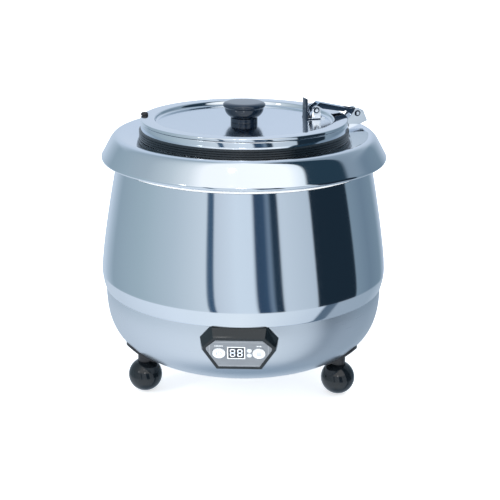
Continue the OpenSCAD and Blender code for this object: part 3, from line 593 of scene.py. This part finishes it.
# Barrel. The bulged middle of the casing, drawn from stainless and polished to a mirror, with a
# hem at the seam over the bowl.
def polished_steel(name, colour, rough, wave=0.05):
    """Mirror-polished stainless: faint buffing lines, wiped marks and a little sheet waviness."""
    made = Finish(name, Metallic=1.0)
    x, y, z = made.parts(made.place())
    turn = made.node("ShaderNodeMath", {"operation": "ARCTAN2"}, {0: y, 1: x})
    buff = made.noise(made.vector(z * 900, turn * 3.0, 0.0), 1.0, 2.0)
    wipes = made.noise(made.vector(x * 14, y * 14, z * 5), 1.0, 3.0, 0.6)
    sheet = made.noise(made.place(), 7.0, 1.0)
    made.set(Base_Color=made.blend(wipes, [c * 0.965 for c in colour], colour),
             Roughness=rough + 0.035 * wipes + 0.02 * buff)
    made.bump(sheet + 0.004 * buff, wave, 0.004)
    return made.material


BEAD_Z = barrel_high.z / MM + 1
BARREL_TOP_R = CASE_R - 19.6
SHOULDER_Z = SEAM_Z + 18
BARREL_SHEET = 0.9
casing_polish = polished_steel("casing_polish", (0.83, 0.88, 0.94), 0.045)
hem = rounded([(CASE_R - 16, SEAM_Z + 0.1, 0), (CASE_R - 3.1, SEAM_Z + 0.1, 0.5),
               (CASE_R - 2.7, SEAM_Z + 1.2, 0.4)], 4)
barrel_side = (hem
               + bezier([(CASE_R - 2.6, SEAM_Z + 1.6), (CASE_R - 0.9, SEAM_Z + 8),
                         (CASE_R, SHOULDER_Z - 4), (CASE_R, SHOULDER_Z)], 24)[1:]
               + bezier([(CASE_R, SHOULDER_Z), (CASE_R, SHOULDER_Z + 24),
                         (BARREL_TOP_R + 5.5, BEAD_Z - 27), (BARREL_TOP_R, BEAD_Z - 1)], 72)[1:]
               + [Vector((BARREL_TOP_R - 14, BEAD_Z - 1))])
barrel = spun("barrel_casing", sheet_wall(barrel_side, BARREL_SHEET), casing_polish)
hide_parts("barrel_shell")
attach(barrel, "kettle")


# Neck bead. A half-round moulding coloured plain white, pressed into the joint between barrel and
# collar all round.
BEAD_SIZE = 2
bead_low, bead_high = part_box("neck_bead")
bead_z0, bead_z1 = bead_low.z / MM, bead_high.z / MM
bead_r = bead_high.x / MM - BEAD_SIZE
bead_outline = ([Vector((bead_r - 6, bead_z0))]
                + arc((bead_r, (bead_z0 + bead_z1) / 2), BEAD_SIZE, -90, 90, 16)
                + [Vector((bead_r - 6, bead_z1))])
bead_white = moulded("bead_white", (0.86, 0.88, 0.90), 0.35, 0.1)
bead = spun("neck_moulding", bead_outline, bead_white)
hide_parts("neck_bead")
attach(bead, "kettle")


# Collar. The broad polished hood that carries the pot, its edge rolled under to the bead.
COLLAR_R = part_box("collar")[1].x / MM
COLLAR_EDGE_Z = BEAD_Z + 30
SKIRT_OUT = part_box("ring_skirt")[1].x / MM
COLLAR_LOW_Z = BEAD_Z + 5.5
COLLAR_ROLL = 2.6
COLLAR_SHEET = 0.7
collar_side = (
    [Vector((SKIRT_OUT - 3.3, COLLAR_EDGE_Z - 0.1)), Vector((SKIRT_OUT, COLLAR_EDGE_Z - 0.1))]
    + bezier([(SKIRT_OUT + 0.1, COLLAR_EDGE_Z), (SKIRT_OUT + 34.4, COLLAR_EDGE_Z + 7),
              (COLLAR_R - 18.1, COLLAR_EDGE_Z + 11.7), (COLLAR_R, COLLAR_LOW_Z + 4)], 96)
    + arc((COLLAR_R - COLLAR_ROLL, COLLAR_LOW_Z + 2.9), COLLAR_ROLL, 0, -75, 10)
    + [Vector((COLLAR_R - 9, COLLAR_LOW_Z - 0.9)), Vector((BARREL_TOP_R + 4, BEAD_Z + 3.3)),
       Vector((BARREL_TOP_R - 8, BEAD_Z + 3.1))])
collar = spun("collar_hood", sheet_wall(collar_side, -COLLAR_SHEET), casing_polish)
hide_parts("collar")
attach(collar, "kettle")


# Water bath, heater and pot. Deep-drawn stainless, satin inside; the cast aluminium plate with
# its tubular element hangs under the bath.
pot_steel = brushed_steel("pot_steel", (0.74, 0.78, 0.82), 0.3)
dress(brushed_steel("bath_steel", (0.66, 0.69, 0.72), 0.38), "water_bath")
dress(plain_metal("plate_casting", (0.70, 0.71, 0.72), 0.5), "heater_plate")
dress(plain_metal("element_sheath", (0.36, 0.35, 0.34), 0.42), "heating_element")
dress(screw_steel, "heater_clamp", "heater_stud", "tie_studs", "temperature_sensor",
      "control_screws", "board_screws", "knob_screw")
pot_low, pot_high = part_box("soup_pot")
POT_FLANGE_R = pot_high.x / MM
POT_TOP_Z = pot_high.z / MM
POT_FLOOR_Z = pot_low.z / MM
POT_R = POT_FLANGE_R - 2.6
POT_SHEET = 0.8
pot_side = rounded([(0, POT_FLOOR_Z, 0), (POT_R, POT_FLOOR_Z, 14), (POT_R, POT_TOP_Z - 1.2, 0.2),
                    (POT_FLANGE_R, POT_TOP_Z - 1.15, 0.3), (POT_FLANGE_R, POT_TOP_Z, 0.3),
                    (POT_R - POT_SHEET, POT_TOP_Z, 1.2),
                    (POT_R - POT_SHEET, POT_FLOOR_Z + POT_SHEET, 13.4),
                    (0, POT_FLOOR_Z + POT_SHEET, 0)], 8)
pot = spun("pot_insert", pot_side, pot_steel)
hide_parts("soup_pot")
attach(pot, "pot")


# Lid ring and skirt. The black moulded skirt stands on the collar, and the polished ring sits in
# it and carries the lid hinge.
skirt_low, skirt_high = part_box("ring_skirt")
ring_low, ring_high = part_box("lid_ring")
SKIRT_Z0, SKIRT_Z1 = skirt_low.z / MM, skirt_high.z / MM
RING_OUT = ring_high.x / MM
RING_Z0, RING_Z1 = ring_low.z / MM, ring_high.z / MM
RING_IN = RING_OUT - 11.5
skirt_black = moulded("skirt_black", (0.008, 0.014, 0.020), 0.2, 0.08)
GROOVE_Z, GROOVE_STEP = SKIRT_Z0 + 2.5, 2.6
skirt_side = [(SKIRT_OUT - 2.3, SKIRT_Z0, 0), (SKIRT_OUT, SKIRT_Z0, 0.3)]
for groove in range(3):
    groove_z = GROOVE_Z + GROOVE_STEP * groove
    skirt_side += [(SKIRT_OUT, groove_z - 0.45, 0.2), (SKIRT_OUT - 0.8, groove_z - 0.1, 0.2),
                   (SKIRT_OUT - 0.8, groove_z + 0.1, 0.2), (SKIRT_OUT, groove_z + 0.45, 0.2)]
skirt_side += [(SKIRT_OUT, SKIRT_Z1 - 1.3, 0.7), (SKIRT_OUT - 1.5, SKIRT_Z1, 0.5),
               (SKIRT_OUT - 2.6, SKIRT_Z1, 0), (SKIRT_OUT - 2.6, SKIRT_Z1 - 1, 0),
               (SKIRT_OUT - 2.3, SKIRT_Z1 - 1.2, 0)]
skirt = spun("neck_skirt", rounded(skirt_side, 3), skirt_black, crease=50)
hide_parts("ring_skirt")
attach(skirt, "ring")
ring_polish = polished_steel("ring_polish", (0.86, 0.90, 0.95), 0.04, 0.02)
RING_WALL = RING_OUT - 1.2
ring_side = rounded([(RING_WALL, RING_Z0, 0.2), (RING_OUT, RING_Z0, 0.3), (RING_OUT, RING_Z1, 1.6),
                     (RING_IN, RING_Z1, 0.4), (RING_IN, RING_Z1 - 3.4, 0.2),
                     (RING_IN + 1, RING_Z1 - 3.4, 0.2), (RING_IN + 1, RING_Z1 - 1.2, 0.2),
                     (RING_WALL, RING_Z1 - 1.2, 0.4), (RING_WALL, RING_Z0 + 0.1, 0)], 5)
ring = spun("lid_seat_ring", ring_side, ring_polish)
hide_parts("lid_ring")
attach(ring, "ring")


# Lid. A stainless disc with a raised, rolled rim; the disc is brushed round and the rim polished.
lid_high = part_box("lid_panel")[1]
LID_R = lid_high.x / MM
RIM_Z = lid_high.z / MM
RIM_STEP, RIM_WIDTH, RIM_LIP = 5.5, 18, 3.4
LID_DISC_Z = RIM_Z - RIM_STEP
LID_DISC_R = LID_R - RIM_WIDTH
lid_steel = brushed_steel("lid_steel", (0.80, 0.86, 0.93), 0.09, "radius", 0.012)
lid_outline = rounded([(0, LID_DISC_Z, 0), (LID_DISC_R, LID_DISC_Z, 3.4),
                       (LID_DISC_R + 1.2, RIM_Z, 3.0), (LID_R, RIM_Z, 1.5),
                       (LID_R, RIM_Z - RIM_LIP, 0.3), (LID_R - 1, RIM_Z - RIM_LIP, 0.2),
                       (LID_R - 1, RIM_Z - 1, 0.5), (LID_DISC_R + 2.2, RIM_Z - 1, 2.2),
                       (LID_DISC_R + 1, LID_DISC_Z - 1, 3.6), (0, LID_DISC_Z - 1, 0)], 7)
lid = spun("lid_pressing", lid_outline, lid_steel)
lid.data.materials.append(ring_polish)
for face in lid.data.polygons:
    if math.hypot(face.center.x, face.center.y) > (LID_DISC_R - 1.3) * MM:
        face.material_index = 1
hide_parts("lid_panel")
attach(lid, "lid")


# Knob and bumper. The knob is a turned goblet of black phenolic on its own foot ring; the bumper
# is a rubber button that keeps a folded lid off the casing.
knob_low, knob_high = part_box("lid_knob")
KNOB_R = knob_high.x / MM
KNOB_Z0, KNOB_Z1 = knob_low.z / MM, knob_high.z / MM
CAP_Z = KNOB_Z1 - 6.2
CAP_IN = KNOB_R - 2
knob_side = (rounded([(0, KNOB_Z0, 0), (16, KNOB_Z0, 0.5), (16, KNOB_Z0 + 4.9, 0.7),
                      (14.6, KNOB_Z0 + 5.2, 0.3)], 4)
             + bezier([(14.4, KNOB_Z0 + 5.3), (18.2, KNOB_Z0 + 6.2), (CAP_IN, CAP_Z - 7),
                       (CAP_IN, CAP_Z - 0.8)], 24)
             + bezier([(CAP_IN, CAP_Z - 0.8), (CAP_IN, CAP_Z), (KNOB_R, CAP_Z + 0.6),
                       (KNOB_R, CAP_Z + 2.4)], 12)[1:]
             + bezier([(KNOB_R, CAP_Z + 2.4), (KNOB_R, KNOB_Z1 - 1.2), (KNOB_R - 3, KNOB_Z1),
                       (KNOB_R - 7, KNOB_Z1)], 16)[1:] + [Vector((0, KNOB_Z1))])
knob_black = moulded("knob_black", (0.010, 0.020, 0.038), 0.09, 0.03, 0.4)
knob = spun("knob_turning", knob_side, knob_black, 96)
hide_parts("lid_knob")
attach(knob, "lid")
rubber = moulded("bumper_rubber", (0.018, 0.018, 0.020), 0.55, 0.3)
eased("rim_bumper", "lid_bumper", rubber, "lid", 0.4)


# Lid hinge. Bent polished stainless: a bracket riveted to the skirt, a channel arm and a bracket
# riveted to the lid, with a headed pin through each. Shade is painted on: the web, the arm's flanks
# and undersides, the rivet heads and the lid bracket's foot are dark, with a dark ring round each
# pin's head.
LIGHT, SHADE_PAINT = (0.86, 0.89, 0.93), (0.03, 0.05, 0.08)
PIN_SHADE_RING = (2.1, 3.7)
EAR_HALF = 5.4
WEB_DEPTH = 2.2
BASE_TOP_Z = LID_DISC_Z + 1.1
NOWHERE = -1.0
arm_polish = polished_steel("arm_polish", (0.50, 0.62, 0.74), 0.12, 0.02)
# Near-black steel that stands for shade and dark reflections on the hinge: painted shade.
hinge_painted_shade = polished_steel("hinge_painted_shade", SHADE_PAINT, 0.16, 0.02)
HINGE_TURN = math.radians(17)
pin_line = Vector((-math.sin(HINGE_TURN), math.cos(HINGE_TURN), 0))
arm_line = Vector((math.cos(HINGE_TURN), math.sin(HINGE_TURN), 0))


def steel_with_painted_shade(name, axis, web, floor):
    """Bright steel with painted shade: dark in a ring round a pin, on the web behind it and at the
    foot.
    """
    made = Finish(name, Metallic=1.0)
    x, y, z = made.parts(made.place())
    along = (x - axis.x) * arm_line.x + (y - axis.y) * arm_line.y
    up = z - axis.z
    reach = along * along + up * up
    # Painted shade: a dark ring round the pin's head, the web behind it, and the foot where the lid
    # bracket meets the lid.
    ring = reach.over((PIN_SHADE_RING[0] * MM) ** 2) * reach.under((PIN_SHADE_RING[1] * MM) ** 2)
    foot_shade = z.under(floor) * along.under(EAR_HALF * MM)
    shade_mask = ring.most(along.under(web)).most(foot_shade)
    made.set(Base_Color=made.blend(shade_mask, LIGHT, SHADE_PAINT), Roughness=0.08 + 0.08 * shade_mask)
    return made.material


# The rivet heads take the painted-shade steel all over.
eased("bracket_rivet_heads", "bracket_rivets", hinge_painted_shade, "ring", 0.35)
for body, floor_z in (("ring", NOWHERE), ("lid", BASE_TOP_Z * MM)):
    pin, plate = body + "_hinge_pin", body + "_bracket"
    low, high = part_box(pin)
    middle = (low + high) / 2
    reaches = [corner.co.dot(arm_line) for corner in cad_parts[plate].data.vertices]
    web_in = min(reaches) - middle.dot(arm_line) + WEB_DEPTH * MM if body == "lid" else NOWHERE
    shaded_steel = steel_with_painted_shade(body + "_hinge_steel", middle, web_in, floor_z)
    eased(body + "_pin", pin, shaded_steel, body, 0.4)
    eased(body + "_bracket_bent", plate, shaded_steel, body, 0.3)
# The rivet heads take the painted-shade steel all over.
eased("lid_rivet_heads", "lid_rivets", hinge_painted_shade, "lid", 0.35)
arm = eased("hinge_channel", "hinge_arm", arm_polish, "arm", 0.35)
arm.data.materials.append(hinge_painted_shade)
# Painted shade: the arm's flanks, facing along the pin, and its down-facing faces take the dark
# steel.
for face in arm.data.polygons:
    if abs(face.normal.dot(pin_line)) > 0.8 or face.normal.z < -0.5:
        face.material_index = 1


# Control panel. A glossy black surround holds a satin grey film with two buttons, a two-digit
# window and two lamps. Its markings are plain rings and bars.
surround_black = moulded("surround_black", (0.006, 0.010, 0.013), 0.13, 0.04, 0.2)
eased("panel_surround", "control_bezel", surround_black, "kettle", 0.8, 4)
FACE_OUT = CASE_R - 3.8
FACE_Z = SEAM_Z - 32
FACE_TILT = math.radians(19)
KEY_ACROSS, KEY_UP = 22, 3.2
WINDOW = (-3, 3.2, 8.6, 7.4)
LAMPS = ((11.4, 6.6), (11.4, -0.2))
INK_GREY = (0.34, 0.38, 0.42)
INK_WHITE = (0.85, 0.88, 0.90)


class Film(Finish):
    """A satin printed film whose marks are set out in millimetres across and up the panel."""

    def __init__(self, name, colour):
        super().__init__(name, Specular_IOR_Level=0.4)
        x, y, z = self.parts(self.place())
        self.across = x / MM
        self.up = ((z / MM - FACE_Z) * math.cos(FACE_TILT)
                   - (y / MM + FACE_OUT) * math.sin(FACE_TILT))
        grain = self.noise(self.place(), 2600.0, 2.0)
        cloud = self.noise(self.place(), 40.0, 2.0)
        self.colour = self.blend(cloud, [c * 0.86 for c in colour], colour)
        self.set(Roughness=0.36 + 0.12 * grain)
        self.bump(grain, 0.12, 0.00004)

    def past_box(self, x, y, half_x, half_y):
        """How far a place lies outside a box, below zero inside it."""
        return ((self.across - x).size() - half_x).most((self.up - y).size() - half_y)

    def line_box(self, x, y, half_x, half_y, width):
        edge = self.past_box(x, y, half_x, half_y)
        return (edge - width / 2).size().under(width / 2)

    def ring(self, x, y, radius, width):
        away = ((self.across - x) * (self.across - x) + (self.up - y) * (self.up - y)) ** 0.5
        return (away - radius).size().under(width / 2)

    def bar(self, x, y, half_x, half_y):
        return self.past_box(x, y, half_x, half_y).under(0.0)

    def print(self, mark, colour):
        self.colour = self.blend(mark, self.colour, colour)
        self.set(Base_Color=self.colour)


film = Film("film_grey", (0.215, 0.235, 0.26))
film.print(film.line_box(*WINDOW[:2], WINDOW[2] + 0.2, WINDOW[3] + 0.2, 1.1), INK_WHITE)
film.print(film.line_box(0, 1.6, 32, 16.5, 0.5) * 0.25, INK_WHITE)
for lamp_place in LAMPS:
    film.print(film.ring(*lamp_place, 2.35, 0.7), INK_WHITE)
for side, half_x in ((-1, 4.6), (1, 2.9)):
    ticks = film.bar(side * KEY_ACROSS, 13.1, half_x, 0.75)
    film.print(ticks * (film.across * 0.62).part().over(0.34), INK_WHITE)
eased("panel_film", "control_face", film.material, "kettle", 0.12, 2)
for side, piece, node in ((-1, "power_key", "power_button"), (1, "set_key", "set_button")):
    key = Film(piece + "_film", (0.82, 0.85, 0.88))
    middle = side * KEY_ACROSS
    if side < 0:
        gap = key.bar(middle, KEY_UP + 2.6, 1.1, 1.2)
        key.print(key.ring(middle, KEY_UP, 2.7, 0.8) * (1 - gap), INK_GREY)
        key.print(key.bar(middle, KEY_UP + 1.9, 0.4, 1.7), INK_GREY)
    else:
        stripes = (key.up * 0.55).part().over(0.45)
        key.print(key.bar(middle, KEY_UP, 2.4, 2.9) * stripes, INK_GREY)
    eased(node + "_cap", node, key.material, node, 0.5)
window = moulded("window_dark", (0.012, 0.014, 0.020), 0.05, 0.01, 0.8)
dress(window, "display_window")
lit = Finish("lit_segments", Base_Color=(0.7, 0.8, 0.9), Emission_Strength=0.9)
lit_cloud = lit.noise(lit.place(), 500.0)
lit.set(Emission_Color=lit.blend(lit_cloud, (0.75, 0.86, 1.0), (1.0, 1.0, 1.0)))
dress(lit.material, "display_digits")
lamp = Finish("lamp_lens", Roughness=0.15, Emission_Strength=0.5)
lamp_cloud = lamp.noise(lamp.place(), 300.0)
lamp.set(Base_Color=lamp.blend(lamp_cloud, (0.5, 0.6, 0.7), (0.75, 0.85, 0.95)),
         Emission_Color=(0.7, 0.8, 0.9))
dress(lamp.material, "status_lamps")


# Control box and power electronics. Inside the bowl: a black box behind the panel, and a power
# board on brass posts with its relay, transformer and terminal block.
inner_black = moulded("inner_black", (0.02, 0.02, 0.022), 0.5, 0.3)
dress(inner_black, "control_box", "tact_switches", "thermal_cutout")
board_green = moulded("board_green", (0.02, 0.13, 0.06), 0.3, 0.15)
dress(board_green, "control_board", "power_board")
dress(moulded("relay_blue", (0.03, 0.09, 0.28), 0.35), "relay")
dress(moulded("winding_tape", (0.62, 0.50, 0.09), 0.4), "transformer")
pale_plastic = moulded("pale_plastic", (0.70, 0.70, 0.66), 0.4)
dress(pale_plastic, "terminal_block", "display_module")
brass = plain_metal("brass_parts", (0.78, 0.58, 0.26), 0.28)
dress(brass, "heater_nut", "tie_nuts", "board_posts", "earth_screw")
dress(moulded("silicone_white", (0.66, 0.66, 0.64), 0.5), "heater_leads", "panel_lead")
dress(moulded("silicone_black", (0.03, 0.03, 0.03), 0.5), "sensor_lead")
dress(moulded("mains_brown", (0.16, 0.07, 0.03), 0.5), "mains_leads")


# Cable gland. A black nylon gland at the back, held by its nut inside the bowl.
nylon = moulded("nylon", (0.020, 0.020, 0.022), 0.42, 0.25)
eased("rear_gland", "cable_gland", nylon, "kettle", 0.5)
dress(nylon, "gland_nut")
